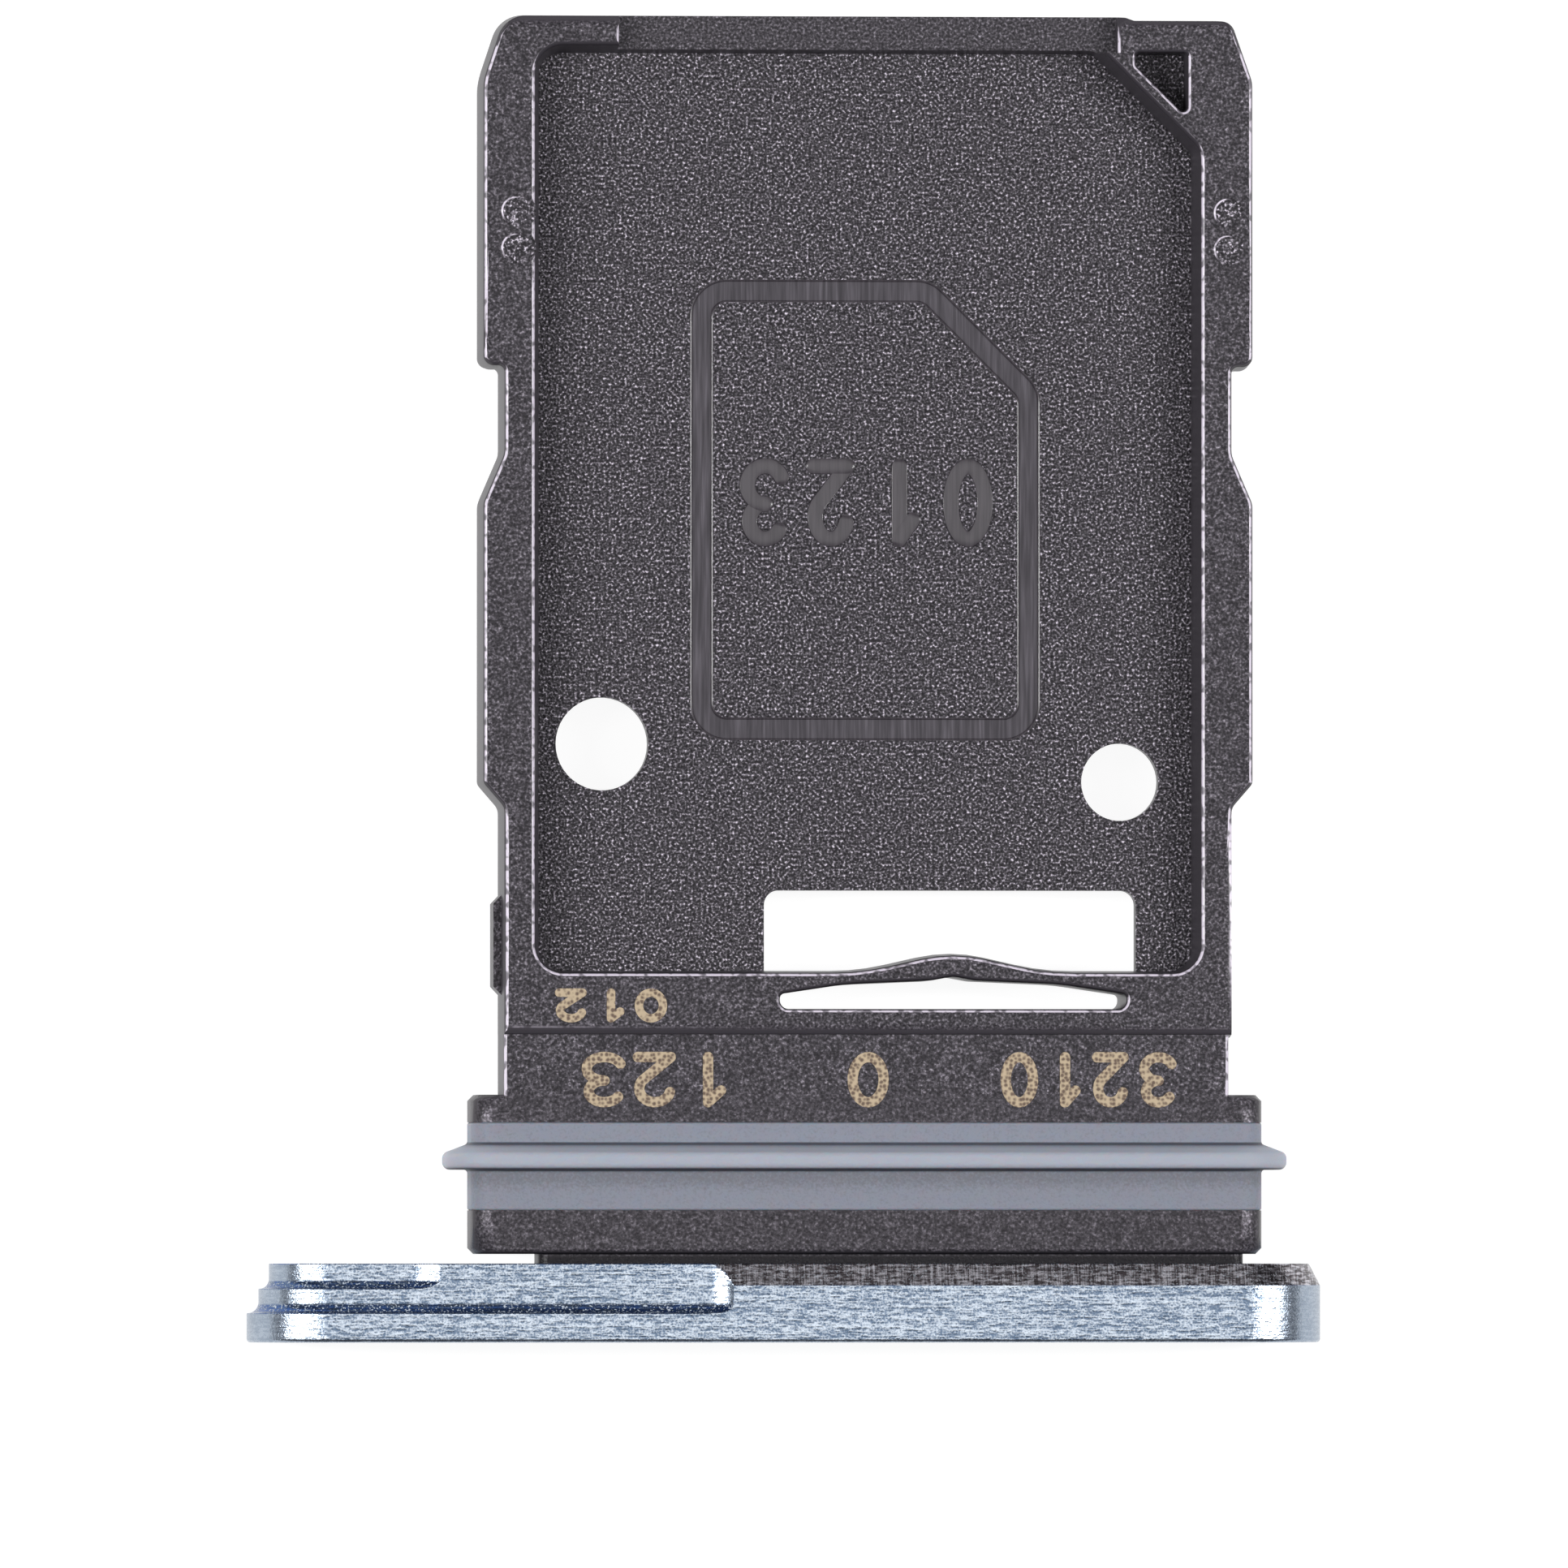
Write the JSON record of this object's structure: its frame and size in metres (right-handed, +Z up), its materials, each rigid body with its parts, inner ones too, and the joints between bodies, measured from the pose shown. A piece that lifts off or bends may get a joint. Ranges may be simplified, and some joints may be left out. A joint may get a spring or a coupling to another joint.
{
  "type": "sim card tray",
  "caption": "Slim phone card tray: plastic frame with a card pocket on each face, a spring finger, a silicone lip seal round its flange and a round-ended metal cap with an eject hole.",
  "frame": {"origin": "centre of the whole tray in plan, on the surface that it lies on", "axes": "+Y the way the tray is pushed into the phone, +Z up, +X to the right, away from the eject hole"},
  "size_m": [0.0146, 0.018, 0.0023],
  "materials": {
    "tray_plastic": "dark grey moulded plastic with a spark-eroded grain",
    "seal_silicone": "matte blue-grey silicone",
    "cap_metal": "light blue anodised, blasted face and milled sides"
  },
  "bodies": {
    "root": {"tray_body": "tray_plastic", "seal_ring": "seal_silicone", "cap": "cap_metal"}
  },
  "joints": []
}
